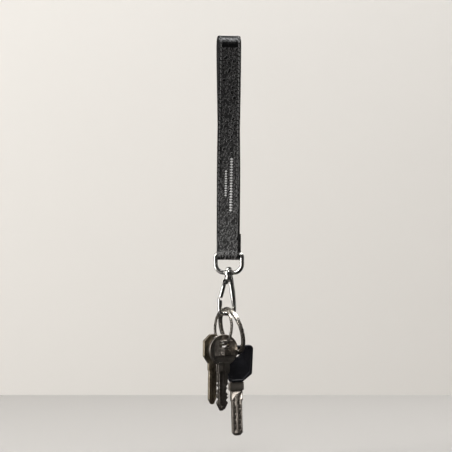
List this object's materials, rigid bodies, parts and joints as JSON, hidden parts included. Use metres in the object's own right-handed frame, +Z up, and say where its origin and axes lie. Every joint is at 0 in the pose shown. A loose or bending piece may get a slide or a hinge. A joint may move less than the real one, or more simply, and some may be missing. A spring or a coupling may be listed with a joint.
{
  "type": "wristlet keychain",
  "caption": "Folded leather wrist strap on a swivel snap clasp, which carries a small and a large split ring with metal and plastic-headed keys.",
  "frame": {"origin": "axis of the strap's top fold, midway across the strap, where the loop hangs over a peg or wrist", "axes": "+X across the strap to the right, +Y to the back, +Z up along the hanging strap"},
  "size_m": [0.0413, 0.0366, 0.3211],
  "materials": {
    "pebbled_leather": "pebbled grain, satin",
    "lining_leather": "smooth, matt",
    "thread": "twisted, satin",
    "foil": "stamped silver foil",
    "chrome": "polished",
    "spring_steel": "drawn wire",
    "ring_steel": "nickel plated, worn",
    "key_nickel": "nickel plated, worn",
    "key_brass": "worn, dull",
    "key_plastic": "moulded, fine texture",
    "key_steel": "milled"
  },
  "bodies": {
    "strap": {"strap_outer": "pebbled_leather", "strap_lining": "lining_leather", "edge_stitches": "thread", "closing_stitches": "thread", "foil_bars": "foil"},
    "swivel_ring": {"d_ring": "chrome"},
    "hook": {"swivel_rivet": "chrome", "hook_body": "chrome", "gate_pin": "spring_steel", "gate_spring": "spring_steel"},
    "gate": {"gate": "chrome"},
    "small_ring": {"small_split_ring": "ring_steel"},
    "large_ring": {"large_split_ring": "ring_steel"},
    "round_key": {"round_key": "key_nickel"},
    "rear_key": {"rear_key": "key_nickel"},
    "octagon_key": {"octagon_key": "key_brass"},
    "dimple_key": {"dimple_key_head": "key_plastic", "dimple_key_blade": "key_steel"}
  },
  "joints": [
    {"name": "ring_pivot", "type": "hinge", "parent": "strap", "child": "swivel_ring", "pos_m": [0, 0, -0.1672], "axis": [0.9397, -0.342, 0], "range_deg": [-75, 75]},
    {"name": "hook_swivel", "type": "hinge", "parent": "swivel_ring", "child": "hook", "pos_m": [0, 0, -0.184], "axis": [0, 0, 1], "continuous": true},
    {"name": "gate_hinge", "type": "hinge", "parent": "hook", "child": "gate", "pos_m": [-0.0031, 0, -0.1891], "axis": [0, -1, 0], "range_deg": [0, 22], "stiffness_Nm_per_rad": 0.01, "springref_deg": -22.92},
    {"name": "small_ring_swing", "type": "hinge", "parent": "hook", "child": "small_ring", "pos_m": [0, 0.00018, -0.21166], "axis": [1, 0, 0], "range_deg": [-12, 0]},
    {"name": "large_ring_swing", "type": "hinge", "parent": "hook", "child": "large_ring", "pos_m": [0, -0.00091, -0.2111], "axis": [1, 0, 0], "range_deg": [0, 15]},
    {"name": "round_key_swing", "type": "hinge", "parent": "small_ring", "child": "round_key", "pos_m": [-0.00297, -0.00518, -0.23838], "axis": [-0.4384, 0.8988, 0], "range_deg": [-2, 20]},
    {"name": "rear_key_swing", "type": "hinge", "parent": "small_ring", "child": "rear_key", "pos_m": [-0.00457, -0.00232, -0.23912], "axis": [-0.454, 0.891, 0], "range_deg": [-12, 12]},
    {"name": "octagon_key_swing", "type": "hinge", "parent": "small_ring", "child": "octagon_key", "pos_m": [-0.00928, 0.00685, -0.23593], "axis": [-0.6561, 0.7547, 0], "range_deg": [-10, 15]},
    {"name": "dimple_key_swing", "type": "hinge", "parent": "large_ring", "child": "dimple_key", "pos_m": [0.00498, 0.0082, -0.24615], "axis": [-0.3746, 0.9272, 0], "range_deg": [-10, 16]}
  ]
}
